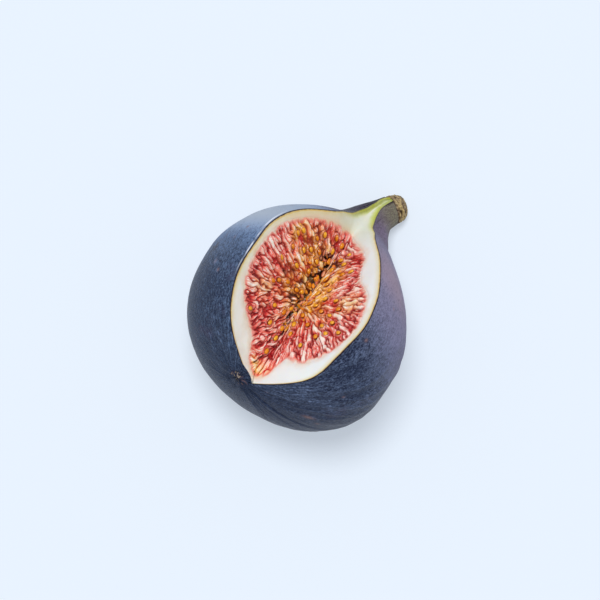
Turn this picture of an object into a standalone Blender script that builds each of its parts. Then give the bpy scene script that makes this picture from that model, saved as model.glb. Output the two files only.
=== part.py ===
"""A fresh fig that lies on its side with a quarter wedge cut out of its top.

The fruit is one solid. Its skin is a loft of round sections along a centreline that runs from the eye
to the end of the stem. The centreline dips towards the stem, and it bends sideways along the neck.
A wedge-shaped cutter, lofted along the same centreline, removes the quarter. The shape is modelled in
metres, with +X along the fruit's length towards the stem, +Z up, and the origin on the surface below
the middle of the fruit's bounding box.
"""

import math

import bmesh
import bpy
import numpy as np

# The body: a round fruit that is widest where the distance along the centreline is 0.
BODY_RADIUS = 0.0262
EYE_DISTANCE = 0.02335
EYE_BLUNTNESS = 2.73
SAG = 0.0010

# Distance along the centreline and radius, from the widest section to the end of the stem.
SHOULDER_AND_STEM = (
    (0.0, BODY_RADIUS),
    (0.0081, 0.0239),
    (0.0162, 0.0188),
    (0.0220, 0.0136),
    (0.0278, 0.0074),
    (0.0353, 0.0042),
    (0.0413, 0.0032),
    (0.0427, 0.0028),
    (0.0436, 0.0019),
    (0.0441, 0.0009),
)
STEM_END = SHOULDER_AND_STEM[-1][0]
STEM_END_SLANT = math.tan(math.radians(18.0))
STEM_END_LENGTH = 0.004
STEM_END_RINGS = (0.0422, 0.0429, 0.0435, 0.0439, STEM_END)

# The centreline: its dip towards the stem, its bend along the neck, and how far it leans sideways.
DIP = math.radians(32.4)
NECK_START = 0.0217
NECK_END = 0.0433
NECK_TURN = math.radians(-34.5)
NECK_LIFT = math.radians(7.8)
LEAN = 0.0634
EYE_OFFSET = 0.0026

# Where the fruit is fuller than a round section: on its right underside near the eye, and where the
# neck joins the body on the right. Each row gives a distance along the centreline and its spread, an
# angle in degrees from up towards the left and its spread, and the height added.
FULLNESS = (
    (-0.0115, 0.0080, -104.0, 36.0, 0.0007),
    (0.0299, 0.0045, -84.0, 50.0, 0.0022),
)

# The cut. Each row gives a distance along the centreline, then in the section there the valley's
# place, leftwards and upwards from the centre, and how far the left and the right face lean from
# upright, in degrees.
CUT = (
    (-0.0235, -0.0015, 0.0018, 49.0, -41.0),
    (-0.0210, -0.0010, 0.0016, 51.0, -42.5),
    (-0.0150, 0.0000, 0.0022, 51.5, -35.0),
    (-0.0040, 0.0012, 0.0033, 49.5, -34.0),
    (0.0130, 0.0010, 0.0056, 46.0, -28.0),
    (0.0200, 0.0011, 0.0068, 40.0, -28.0),
    (0.0255, 0.0012, 0.0053, 47.0, -33.0),
    (0.0300, 0.0018, 0.0036, 51.0, -40.0),
    (0.0350, 0.0023, 0.0026, 60.0, -38.0),
    (0.0403, 0.0027, 0.0020, 62.0, -36.0),
    (0.0430, 0.0035, 0.0024, 62.0, -36.0),
)
CUTTER_CLEARANCE = 0.010
CUTTER_OVERRUN = 0.004

# The eye's scar, a small dimple with a low lip: each row gives a ring's radius and how far it stands
# out from the skin. The scar lies a little to the left, and draws the rings near it along with it.
EYE_SCAR = (
    (0.0006, -0.0005),
    (0.0011, -0.0003),
    (0.0014, 0.0001),
)
EYE_SCAR_LEFT = 0.0015
EYE_SCAR_PULL = 40

# How finely the solids are lofted.
COLUMNS = 48
EYE_RINGS = 14
FIRST_RING_ANGLE = math.radians(4.0)
NECK_RINGS = 25
CUTTER_RINGS = 44
CUTTER_ROWS = 7
CENTRELINE_STEPS = 1400

SKIN_COLOUR = (0.060, 0.070, 0.130, 1.0)
SKIN_ROUGHNESS = 0.55
SHARP_EDGE_ANGLE = math.radians(40.0)


def clear_scene():
    for obj in list(bpy.data.objects):
        bpy.data.objects.remove(obj, do_unlink=True)


def smooth_curve(rows, at):
    """The values at the given places of a smooth curve through rows of (place, value, value...).

    The curve sets out level from the first row.
    """
    table = np.array(rows, dtype=float)
    places = table[:, 0]
    values = table[:, 1:]
    gaps = np.diff(places)[:, None]
    slopes = np.diff(values, axis=0) / gaps
    tangents = np.zeros_like(values)
    tangents[1:-1] = (slopes[:-1] * gaps[1:] + slopes[1:] * gaps[:-1]) / (gaps[:-1] + gaps[1:])
    tangents[-1] = slopes[-1]
    at = np.clip(np.asarray(at, dtype=float), places[0], places[-1])
    row = np.clip(np.searchsorted(places, at, side="right") - 1, 0, len(rows) - 2)
    gap = gaps[row]
    t = (at - places[row])[:, None] / gap
    start = (2 * t**3 - 3 * t**2 + 1) * values[row] + (t**3 - 2 * t**2 + t) * gap * tangents[row]
    end = (3 * t**2 - 2 * t**3) * values[row + 1] + (t**3 - t**2) * gap * tangents[row + 1]
    return start + end


def radius_at(along):
    """The radius of the round section at each distance along the centreline."""
    eye_side = np.clip(-along / EYE_DISTANCE, 0.0, 1.0)
    eye_radius = BODY_RADIUS * np.sqrt(1.0 - eye_side**EYE_BLUNTNESS)
    return np.where(along < 0.0, eye_radius, smooth_curve(SHOULDER_AND_STEM, along)[:, 0])


def fullness_at(along, turn):
    """The height that the fuller places add to the radius, at each distance and turn from up."""
    total = np.zeros((len(along), len(turn)))
    for place, place_spread, side, side_spread, height in FULLNESS:
        lengthwise = np.exp(-(((along - place) / place_spread) ** 2))
        around = np.exp(-(((np.degrees(turn) - side) / side_spread) ** 2))
        total += height * lengthwise[:, None] * around[None, :]
    return total


def centreline_frames(along):
    """The centre, direction, left and up vectors of the section at each distance."""
    steps = np.linspace(-EYE_DISTANCE - CUTTER_OVERRUN, STEM_END + CUTTER_OVERRUN, CENTRELINE_STEPS)
    bend = np.clip((steps - NECK_START) / (NECK_END - NECK_START), 0.0, 1.0)
    bend = bend * bend * (3.0 - 2.0 * bend)
    turn = NECK_TURN * bend
    pitch = NECK_LIFT * bend - DIP
    heading = np.stack([np.cos(pitch) * np.cos(turn), np.cos(pitch) * np.sin(turn), np.sin(pitch)], 1)
    strides = (heading[1:] + heading[:-1]) / 2 * np.diff(steps)[:, None]
    path = np.vstack([np.zeros(3), np.cumsum(strides, axis=0)])
    eye_side = np.clip(-steps / EYE_DISTANCE, 0.0, 1.0)
    path[:, 1] += LEAN * steps + EYE_OFFSET * eye_side**3
    middle = np.array([np.interp(0.0, steps, path[:, axis]) for axis in range(3)])
    centre = np.stack([np.interp(along, steps, path[:, axis]) for axis in range(3)], 1) - middle
    direction = np.stack([np.interp(along, steps, heading[:, axis]) for axis in range(3)], 1)
    direction /= np.linalg.norm(direction, axis=1)[:, None]
    left = np.cross([0.0, 0.0, 1.0], direction)
    left /= np.linalg.norm(left, axis=1)[:, None]
    up = np.cross(direction, left)
    return centre, direction, left, up


def skin_rings():
    """The rings of points around the fruit, from the eye to the slanting end of the stem."""
    scar_radius, scar_height = np.array(EYE_SCAR).T
    eye_side = np.linspace(FIRST_RING_ANGLE, math.pi / 2, EYE_RINGS, endpoint=False)
    polar = np.concatenate([np.arcsin(scar_radius / BODY_RADIUS), eye_side])
    eye_part = -EYE_DISTANCE * (np.cos(polar) ** 2) ** (1.0 / EYE_BLUNTNESS)
    neck_part = np.linspace(0.0, STEM_END_RINGS[0], NECK_RINGS, endpoint=False)
    along = np.concatenate([eye_part, neck_part, STEM_END_RINGS])
    turn = np.linspace(-math.pi, math.pi, COLUMNS, endpoint=False)
    reach = radius_at(along)[:, None] + fullness_at(along, turn)
    near_scar = np.clip(-along / EYE_DISTANCE, 0.0, 1.0) ** EYE_SCAR_PULL
    leftwards = reach * np.sin(turn) + EYE_SCAR_LEFT * near_scar[:, None]
    upwards = reach * np.cos(turn)
    near_end = np.clip(1.0 - (STEM_END - along) / STEM_END_LENGTH, 0.0, 1.0)
    forwards = -upwards * STEM_END_SLANT * near_end[:, None]
    forwards[: len(EYE_SCAR)] -= scar_height[:, None]
    centre, direction, left, up = centreline_frames(along)
    offsets = [size[:, :, None] * axis[:, None, :]
               for size, axis in ((leftwards, left), (upwards, up), (forwards, direction))]
    return centre[:, None, :] + sum(offsets)


def cutter_rings():
    """Three-cornered sections of the wedge: its valley, and a corner outside the skin on each side."""
    along = np.linspace(-EYE_DISTANCE - CUTTER_OVERRUN, CUT[-1][0], CUTTER_RINGS)
    valley_left, valley_up, lean_left, lean_right = smooth_curve(CUT, along).T
    centre, _, left, up = centreline_frames(along)
    reach = np.where(along < 0.0, BODY_RADIUS, radius_at(along)) + CUTTER_CLEARANCE
    points = []
    for row in range(-CUTTER_ROWS, CUTTER_ROWS + 1):
        lean = np.radians(lean_left if row > 0 else lean_right)
        distance = reach * abs(row) / CUTTER_ROWS
        leftwards = valley_left + distance * np.sin(lean)
        upwards = valley_up + distance * np.cos(lean)
        points.append(centre + leftwards[:, None] * left + upwards[:, None] * up)
    return np.stack(points, axis=1)


def lofted_object(name, rings, collection):
    """A closed solid through rings of equally many points, with a flat cap on each end."""
    mesh = bpy.data.meshes.new(name)
    bm = bmesh.new()
    loops = [[bm.verts.new(point) for point in ring] for ring in rings]
    for ring, following in zip(loops, loops[1:]):
        for i in range(len(ring)):
            j = (i + 1) % len(ring)
            bm.faces.new((ring[i], ring[j], following[j], following[i]))
    bm.faces.new(loops[0])
    bm.faces.new(loops[-1])
    bmesh.ops.recalc_face_normals(bm, faces=bm.faces)
    bm.to_mesh(mesh)
    bm.free()
    obj = bpy.data.objects.new(name, mesh)
    collection.objects.link(obj)
    return obj


def skin_material():
    material = bpy.data.materials.new("skin")
    material.use_nodes = True
    shader = material.node_tree.nodes["Principled BSDF"]
    shader.inputs["Base Color"].default_value = SKIN_COLOUR
    shader.inputs["Roughness"].default_value = SKIN_ROUGHNESS
    shader.inputs["Metallic"].default_value = 0.0
    return material


def new_collection(name):
    collection = bpy.data.collections.new(name)
    bpy.context.scene.collection.children.link(collection)
    return collection


def build_fig():
    parts = new_collection("fresh_fig")
    cutters = new_collection("cutters")
    skin = skin_rings()
    wedge = cutter_rings()
    lowest = skin[:, :, 2].min() + SAG
    middle = (skin.min(axis=(0, 1)) + skin.max(axis=(0, 1))) / 2
    origin = np.array([middle[0], middle[1], lowest])
    skin -= origin
    wedge -= origin
    skin[:, :, 2] = np.maximum(skin[:, :, 2], 0.0)

    fig = lofted_object("fig", skin, parts)
    fig.data.materials.append(skin_material())
    cutter = lofted_object("wedge_cutter", wedge, cutters)
    cutter.hide_render = True
    cutter.display_type = "WIRE"
    cut = fig.modifiers.new("wedge", "BOOLEAN")
    cut.operation = "DIFFERENCE"
    cut.solver = "EXACT"
    cut.object = cutter
    fig.data.shade_smooth()
    fig.data.set_sharp_from_angle(angle=SHARP_EDGE_ANGLE)


clear_scene()
build_fig()
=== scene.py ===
"""The looks of a fresh fig that lies on its side with a quarter wedge cut out of its top.

The skin, the cut flesh, each face's pulp, the loose lumps in its hollow, the seeds, the stem's end and the
eye's scales are meshes of their own. They follow the same centreline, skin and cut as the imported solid, in
the same frame. In a few places the skin is up to 1 mm fuller or flatter than the solid.
"""

import itertools
import math

import bmesh
import bpy
import numpy as np
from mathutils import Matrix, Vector


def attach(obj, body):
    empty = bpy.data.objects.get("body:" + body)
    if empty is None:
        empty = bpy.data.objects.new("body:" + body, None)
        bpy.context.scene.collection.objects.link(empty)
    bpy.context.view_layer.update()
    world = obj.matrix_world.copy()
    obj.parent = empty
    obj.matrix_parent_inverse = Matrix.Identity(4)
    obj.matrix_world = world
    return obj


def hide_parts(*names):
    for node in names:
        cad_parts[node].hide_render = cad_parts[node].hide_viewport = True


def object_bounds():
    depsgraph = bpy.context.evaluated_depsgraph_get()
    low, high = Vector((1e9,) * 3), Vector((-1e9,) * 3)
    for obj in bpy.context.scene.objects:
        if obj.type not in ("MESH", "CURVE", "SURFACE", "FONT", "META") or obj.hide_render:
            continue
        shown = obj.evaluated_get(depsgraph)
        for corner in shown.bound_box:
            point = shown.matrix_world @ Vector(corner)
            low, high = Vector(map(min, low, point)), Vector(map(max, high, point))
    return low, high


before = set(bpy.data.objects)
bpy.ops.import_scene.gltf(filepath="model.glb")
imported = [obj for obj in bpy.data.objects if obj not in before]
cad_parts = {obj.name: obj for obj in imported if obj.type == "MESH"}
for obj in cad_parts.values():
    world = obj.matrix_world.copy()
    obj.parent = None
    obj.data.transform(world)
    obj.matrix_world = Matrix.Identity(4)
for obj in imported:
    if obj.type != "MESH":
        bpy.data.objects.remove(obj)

CAD_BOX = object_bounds()

# ------------------------------------------------------------------------------
# The fruit's shape, as in the solid. Lengths are in metres.

# The radius of the widest section, the eye's distance from it, how blunt the fruit is there, and how much
# is pressed flat where it rests.
BODY_RADIUS = 0.0262
EYE_DISTANCE = 0.02335
EYE_BLUNTNESS = 2.73
SAG = 0.0010

# The radius at each distance along the centreline, from the widest section to the stem's slanted end.
SHOULDER_AND_STEM = (
    (0.0, BODY_RADIUS),
    (0.0081, 0.0239),
    (0.0162, 0.0188),
    (0.0220, 0.0136),
    (0.0278, 0.0074),
    (0.0353, 0.0042),
    (0.0413, 0.0032),
    (0.0427, 0.0028),
    (0.0436, 0.0019),
    (0.0441, 0.0009),
)
STEM_END = SHOULDER_AND_STEM[-1][0]
STEM_END_SLANT = math.tan(math.radians(18.0))
STEM_END_LENGTH = 0.004

# The centreline dips towards the stem. Over the neck it turns right and lifts a little, and in plan it
# leans to the left, with the eye off to the left too.
DIP = math.radians(32.4)
NECK_START = 0.0217
NECK_END = 0.0433
NECK_TURN = math.radians(-34.5)
NECK_LIFT = math.radians(7.8)
LEAN = 0.0634
EYE_OFFSET = 0.0026

# Where the fruit is fuller, or flatter below 0: distance along the centreline and its spread, turn from up
# and its spread in degrees, and height. The skin adds a few more such places to the solid's.
SOLID_FULLNESS = (
    (-0.0115, 0.0080, -104.0, 36.0, 0.0007),
    (0.0299, 0.0045, -84.0, 50.0, 0.0022),
)
FULLNESS = SOLID_FULLNESS + (
    (0.0050, 0.0160, 88.0, 42.0, 0.00045),
    (-0.0030, 0.0060, -92.0, 30.0, -0.00035),
    (0.0115, 0.0080, 58.0, 30.0, 0.00070),
    (0.0190, 0.0050, 60.0, 35.0, 0.00040),
    (-0.0130, 0.0050, -100.0, 20.0, -0.00055),
    (0.0275, 0.0050, -54.0, 26.0, 0.00040),
    (0.0080, 0.0080, -50.0, 22.0, 0.00022),
)

# The eye's scar is off its middle, and the rings near it are drawn that way.
EYE_SCAR_LEFT = 0.0015
EYE_SCAR_PULL = 40

CENTRELINE_OVERRUN = 0.004
CENTRELINE_STEPS = 1400

# The cut: distance along the centreline, the valley's place leftwards and upwards in the section
# there, and how far the left and the right face lean from upright, in degrees.
CUT = (
    (-0.0235, -0.0018, 0.0016, 49.0, -41.0),
    (-0.0210, -0.0011, 0.0016, 51.0, -42.5),
    (-0.0150, 0.0000, 0.0022, 51.5, -35.0),
    (-0.0040, 0.0012, 0.0033, 49.5, -34.0),
    (0.0130, 0.0010, 0.0056, 49.0, -28.0),
    (0.0200, 0.0011, 0.0068, 42.0, -28.0),
    (0.0255, 0.0012, 0.0053, 52.0, -38.0),
    (0.0300, 0.0018, 0.0036, 63.0, -43.0),
    (0.0325, 0.00208, 0.00303, 60.0, -39.0),
    (0.0350, 0.0023, 0.0026, 85.0, -32.0),
    (0.0373, 0.00244, 0.0021, 124.0, -26.5),
    (0.0385, 0.00245, 0.0020, 132.0, -24.0),
    (0.0400, 0.0024, 0.0021, 122.0, -20.0),
    (0.0410, 0.00275, 0.00245, 120.0, -24.0),
    (0.0430, 0.0029, 0.0026, 118.0, -26.0),
)

# The left face turns up beside the eye, so that the two faces end in one corner on the skin.
CORNER_AT = -0.0232
CORNER_LENGTH = 0.0003
CORNER_TURN = 22.0

MM = 0.001


# ------------------------------------------------------------------------------
# Small helpers


def smooth_step(low, high, value):
    t = np.clip((value - low) / (high - low), 0.0, 1.0)
    return t * t * (3.0 - 2.0 * t)


def mix(first, second, share):
    """Colours or numbers between two, by a share that may be an array."""
    share = np.asarray(share)[..., None]
    return np.asarray(first) * (1.0 - share) + np.asarray(second) * share


def colour(red, green, blue):
    """A linear colour from its values out of 255 as they look on a screen."""
    screen = np.array([red, green, blue]) / 255.0
    return np.where(screen <= 0.04045, screen / 12.92, ((screen + 0.055) / 1.055) ** 2.4)


def bell(*offsets):
    """1 where every offset is 0, falling to 0 around there."""
    return np.exp(-sum(offset**2 for offset in offsets))


def unit(vectors):
    return vectors / np.linalg.norm(vectors, axis=-1, keepdims=True)


def noise(points, seed):
    """Smooth noise of about -1 to 1 at each point, with features one unit across."""
    cell = np.floor(points).astype(np.int64)
    inside = points - cell
    fade = inside**3 * (inside * (inside * 6.0 - 15.0) + 10.0)
    total = np.zeros(points.shape[:-1])
    for corner in itertools.product((0, 1), repeat=3):
        at = cell + corner
        key = (at[..., 0] * 73856093) ^ (at[..., 1] * 19349663) ^ (at[..., 2] * 83492791)
        key = ((key + seed * 7919) * 2654435761) & 0xFFFFFFFF
        key = ((key ^ (key >> 15)) * 2246822519) & 0xFFFFFFFF
        slopes = np.stack([((key >> shift) & 255) / 127.5 - 1.0 for shift in (6, 14, 22)], axis=-1)
        weight = np.where(corner, fade, 1.0 - fade).prod(axis=-1)
        total += weight * (slopes * (inside - corner)).sum(axis=-1)
    return total * 1.5


def layered_noise(points, seed, layers=3):
    total = 0.0
    for layer in range(layers):
        total = total + noise(points * 2.0**layer, seed + layer) / 2.0**layer
    return total


def smooth_curve(rows, at):
    """The values at the given places of a smooth curve through rows of (place, value, value...).

    The curve sets out level from the first row.
    """
    table = np.array(rows, dtype=float)
    places = table[:, 0]
    values = table[:, 1:]
    gaps = np.diff(places)[:, None]
    slopes = np.diff(values, axis=0) / gaps
    tangents = np.zeros_like(values)
    tangents[1:-1] = (slopes[:-1] * gaps[1:] + slopes[1:] * gaps[:-1]) / (gaps[:-1] + gaps[1:])
    tangents[-1] = slopes[-1]
    at = np.clip(np.asarray(at, dtype=float), places[0], places[-1])
    row = np.clip(np.searchsorted(places, at, side="right") - 1, 0, len(rows) - 2)
    gap = gaps[row]
    t = (at - places[row])[:, None] / gap
    start = (2 * t**3 - 3 * t**2 + 1) * values[row] + (t**3 - 2 * t**2 + t) * gap * tangents[row]
    end = (3 * t**2 - 2 * t**3) * values[row + 1] + (t**3 - t**2) * gap * tangents[row + 1]
    return start + end


# ------------------------------------------------------------------------------
# The solid's surfaces as functions


def radius_at(along):
    """The radius of the round section at each distance along the centreline."""
    eye_side = np.clip(-along / EYE_DISTANCE, 0.0, 1.0)
    eye_radius = BODY_RADIUS * np.sqrt(1.0 - eye_side**EYE_BLUNTNESS)
    return np.where(along < 0.0, eye_radius, smooth_curve(SHOULDER_AND_STEM, along)[:, 0])


def fullness_at(along, turn, places=FULLNESS):
    """The height that the fuller places add to the radius, at each distance and turn from up."""
    turn = (np.degrees(turn) + 180.0) % 360.0 - 180.0
    total = 0.0
    for place, place_spread, side, side_spread, height in places:
        total = total + height * bell((along - place) / place_spread, (turn - side) / side_spread)
    return total


def scar_pull(along):
    """How far the rings near the eye's scar are drawn to the left."""
    return EYE_SCAR_LEFT * np.clip(-along / EYE_DISTANCE, 0.0, 1.0) ** EYE_SCAR_PULL


def centreline_frames(along):
    """The centre, direction, left and up vectors of the section at each distance."""
    steps = np.linspace(-EYE_DISTANCE - CENTRELINE_OVERRUN, STEM_END + CENTRELINE_OVERRUN, CENTRELINE_STEPS)
    bend = smooth_step(NECK_START, NECK_END, steps)
    turn = NECK_TURN * bend
    pitch = NECK_LIFT * bend - DIP
    heading = np.stack([np.cos(pitch) * np.cos(turn), np.cos(pitch) * np.sin(turn), np.sin(pitch)], 1)
    strides = (heading[1:] + heading[:-1]) / 2 * np.diff(steps)[:, None]
    path = np.vstack([np.zeros(3), np.cumsum(strides, axis=0)])
    eye_side = np.clip(-steps / EYE_DISTANCE, 0.0, 1.0)
    path[:, 1] += LEAN * steps + EYE_OFFSET * eye_side**3
    middle = np.array([np.interp(0.0, steps, path[:, axis]) for axis in range(3)])
    centre = np.stack([np.interp(along, steps, path[:, axis]) for axis in range(3)], 1) - middle
    direction = unit(np.stack([np.interp(along, steps, heading[:, axis]) for axis in range(3)], 1))
    left = unit(np.cross([0.0, 0.0, 1.0], direction))
    return centre, direction, left, np.cross(direction, left)


def in_section(along, leftwards, upwards, forwards=0.0):
    """Points, and each section's direction, left and up vectors, for arrays of one shape."""
    along, leftwards, upwards, forwards = np.broadcast_arrays(along, leftwards, upwards, forwards)
    frames = [part.reshape(along.shape + (3,)) for part in centreline_frames(along.ravel())]
    centre, direction, left, up = frames
    points = centre + leftwards[..., None] * left + upwards[..., None] * up
    return points + forwards[..., None] * direction, direction, left, up


def skin_points(along, turn, fuller_places=FULLNESS):
    """Points on the smooth skin and its outward normals, for arrays of one shape."""
    along, turn = np.broadcast_arrays(along, turn)
    radius = radius_at(along.ravel()).reshape(along.shape)
    reach = radius + fullness_at(along, turn, fuller_places)
    upwards = reach * np.cos(turn)
    near_end = np.clip(1.0 - (STEM_END - along) / STEM_END_LENGTH, 0.0, 1.0)
    forwards = -upwards * STEM_END_SLANT * near_end
    leftwards = reach * np.sin(turn) + scar_pull(along)
    points, direction, left, up = in_section(along, leftwards, upwards, forwards)
    step = 0.02 * MM
    behind = radius_at(np.maximum(along.ravel() - step, -EYE_DISTANCE))
    ahead = radius_at(np.minimum(along.ravel() + step, STEM_END))
    slope = ((ahead - behind) / (2 * step)).reshape(along.shape)
    outwards = np.sin(turn)[..., None] * left + np.cos(turn)[..., None] * up - slope[..., None] * direction
    return points, unit(outwards)


def cut_section(along, is_left):
    """The valley's place in the section, and the lean of one face in radians."""
    valley_left, valley_up, lean_left, lean_right = smooth_curve(CUT, along.ravel()).T
    corner = np.clip(1.0 - (along.ravel() - CORNER_AT) / CORNER_LENGTH, 0.0, 1.0)
    lean_left = lean_left - CORNER_TURN * corner**2
    is_left = np.broadcast_to(is_left, along.shape).ravel()
    lean = np.radians(np.where(is_left, lean_left, lean_right))
    return [part.reshape(along.shape) for part in (valley_left, valley_up, lean)]


def rim_of(along, is_left):
    """The distance from the valley to the skin along one face, and the turn from up where it gets there."""
    valley_left, valley_up, lean = cut_section(along, is_left)
    radius = radius_at(along)
    near = np.zeros_like(along)
    far = np.full_like(along, 2.0 * BODY_RADIUS)
    for _ in range(40):
        distance = (near + far) / 2
        leftwards = valley_left + distance * np.sin(lean) - scar_pull(along)
        upwards = valley_up + distance * np.cos(lean)
        turn = np.arctan2(leftwards, upwards)
        inside = np.hypot(leftwards, upwards) < radius + fullness_at(along, turn)
        near = np.where(inside, distance, near)
        far = np.where(inside, far, distance)
    return near, turn


def valley_meets_skin(low, high):
    """The distance along the centreline, between the given two, at which the valley leaves the fruit."""
    for _ in range(50):
        middle = np.array([(low + high) / 2])
        valley_left, valley_up, _ = cut_section(middle, True)
        inside = np.hypot(valley_left - scar_pull(middle), valley_up) < radius_at(middle)
        if inside[0] == (low > 0.0):
            low = middle[0]
        else:
            high = middle[0]
    return (low + high) / 2


CUT_START = valley_meets_skin(-EYE_DISTANCE, -0.0200)
CUT_END = valley_meets_skin(0.0300, 0.0430)


def find_origin():
    """Where the row frame's origin is, seen from the widest section's centre."""
    along = np.linspace(-EYE_DISTANCE, STEM_END, 160)[:, None]
    points, _ = skin_points(along, np.linspace(-math.pi, math.pi, 120)[None, :], SOLID_FULLNESS)
    low = points.min(axis=(0, 1))
    middle = (low + points.max(axis=(0, 1))) / 2
    cad_middle = (np.array(CAD_BOX[0]) + np.array(CAD_BOX[1])) / 2
    return np.array([middle[0] - cad_middle[0], middle[1] - cad_middle[1], low[2] + SAG - CAD_BOX[0][2]])


ORIGIN = find_origin()


def skin_point(along, turn):
    """One point on the smooth skin in the row frame, and the outward normal there."""
    points, outwards = skin_points(np.array([along]), np.array([turn]))
    return points[0] - ORIGIN, outwards[0]


# ------------------------------------------------------------------------------
# Meshes and materials

WELD_DISTANCE = 1e-8
ATTRIBUTE_KINDS = {1: ("FLOAT", "value"), 3: ("FLOAT_VECTOR", "vector"), 4: ("FLOAT_COLOR", "color")}


def make_object(name, points, faces, material, weld=False, **attributes):
    """A smooth mesh object. An attribute has one or three numbers for each point, and tint is a colour."""
    mesh = bpy.data.meshes.new(name)
    faces = faces.tolist() if isinstance(faces, np.ndarray) else faces
    mesh.from_pydata(points.reshape(-1, 3).tolist(), [], faces)
    for title, values in attributes.items():
        values = np.asarray(values).reshape(len(mesh.vertices), -1)
        if title == "tint":
            values = np.column_stack([values, np.ones(len(values))])
        kind, key = ATTRIBUTE_KINDS[values.shape[1]]
        layer = mesh.attributes.new(title, kind, "POINT")
        layer.data.foreach_set(key, values.astype(np.float32).ravel())
    if weld:
        bm = bmesh.new()
        bm.from_mesh(mesh)
        bmesh.ops.remove_doubles(bm, verts=bm.verts, dist=WELD_DISTANCE)
        bm.to_mesh(mesh)
        bm.free()
    mesh.shade_smooth()
    mesh.materials.append(material)
    obj = bpy.data.objects.new(name, mesh)
    bpy.context.scene.collection.objects.link(obj)
    return obj


def grid_faces(rows, columns, closed=False):
    """The quads of a grid whose columns may join up into rings."""
    row, column = np.meshgrid(np.arange(rows - 1), np.arange(columns - (not closed)), indexing="ij")
    following = (column + 1) % columns
    corners = [row * columns + column, row * columns + following,
               (row + 1) * columns + following, (row + 1) * columns + column]
    return np.stack([corner.ravel() for corner in corners], axis=1)


def dress(obj, slot, *replaced):
    """The piece moves with the fruit, and may stand for a solid, which is then hidden. The slot is not used.
    """
    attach(obj, "root")
    if replaced:
        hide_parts(*replaced)


class Value:
    """A number, vector or colour that nodes work out. Numbers add, subtract and multiply as usual."""

    def __init__(self, socket):
        self.socket = socket

    def node(self, kind, inputs, output=0, **settings):
        return Value(add_node(self.socket.id_data, kind, inputs, **settings).outputs[output])

    def maths(self, operation, other):
        return self.node("ShaderNodeMath", {0: self, 1: other}, operation=operation)

    def __add__(self, other):
        return self.maths("ADD", other)

    def __sub__(self, other):
        return self.maths("SUBTRACT", other)

    def __mul__(self, other):
        return self.maths("MULTIPLY", other)

    def ranged(self, low, high, to_low=0.0, to_high=1.0):
        """A smooth step from to_low, where the number is low, to to_high, where it is high."""
        inputs = {"Value": self, "From Min": low, "From Max": high, "To Min": to_low, "To Max": to_high}
        return self.node("ShaderNodeMapRange", inputs, "Result", interpolation_type="SMOOTHSTEP")

    def parts(self):
        return [self.node("ShaderNodeSeparateXYZ", {0: self}, part) for part in range(3)]

    def scaled(self, *scale):
        return self.node("ShaderNodeMapping", {"Vector": self, "Scale": scale}, "Vector")

    def texture(self, scale, detail=3.0, rough=0.6):
        """Noise of 0 to 1 at this place."""
        inputs = {"Vector": self, "Scale": scale, "Detail": detail, "Roughness": rough}
        return self.node("ShaderNodeTexNoise", inputs, "Fac")

    def bump(self, strength, distance):
        """The normal of a surface with this relief."""
        inputs = {"Height": self, "Strength": strength, "Distance": distance}
        return self.node("ShaderNodeBump", inputs, "Normal")


def add_node(tree, kind, inputs=None, **settings):
    """A node with the given settings. An input is a plain value, or a value from another node."""
    node = tree.nodes.new(kind)
    for name, value in settings.items():
        setattr(node, name, value)
    for key, value in (inputs or {}).items():
        if isinstance(value, Value):
            tree.links.new(value.socket, node.inputs[key])
        else:
            node.inputs[key].default_value = value
    return node


def new_material(name, **values):
    """A material, its node tree and its Principled shader, with the shader's own sockets set."""
    material = bpy.data.materials.new(name)
    material.use_nodes = True
    tree = material.node_tree
    shader = tree.nodes["Principled BSDF"]
    for socket, value in values.items():
        shader.inputs[socket.replace("_", " ")].default_value = value
    return material, tree, shader


def opaque(shade):
    return (*shade, 1.0)


def feed(shader, **sources):
    """Links values to the shader's sockets."""
    for socket, value in sources.items():
        shader.id_data.links.new(value.socket, shader.inputs[socket.replace("_", " ")])


def attribute_of(tree, name, output="Fac"):
    return Value(add_node(tree, "ShaderNodeAttribute", attribute_name=name).outputs[output])


def place_of(tree):
    return Value(add_node(tree, "ShaderNodeTexCoord").outputs["Object"])


def blended(share, first, second):
    """The colour between two, by a share from 0 to 1. Either colour is a value or a linear colour."""
    first, second = (item if isinstance(item, Value) else opaque(item) for item in (first, second))
    return share.node("ShaderNodeMix", {0: share, 6: first, 7: second}, 2, data_type="RGBA")


# ------------------------------------------------------------------------------
# The skin

SKIN_COLUMNS = 320
EYE_RING_STEP = math.radians(0.66)
NECK_RING_STEP = 0.30 * MM
RIM_FADE = 0.7 * MM
NECK_GROOVE_TURN = math.radians(-47.0)
NECK_GROOVE_SPREAD = math.radians(6.0)

# How high the skin's relief is, and how far the skin dips under the stem's cap.
SWELLS = 0.16 * MM
WRINKLES = 0.030 * MM
LOW_FOLDS = 0.18 * MM
EYE_RIBS = 0.13 * MM
SCAR_LUMPS = 0.30 * MM
NECK_RIBS = 0.22 * MM
FINE_NECK_RIBS = 0.14 * MM
NECK_GROOVE = 0.30 * MM
LIP = 0.10 * MM
UNDER_CAP = 1.1 * MM

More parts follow.
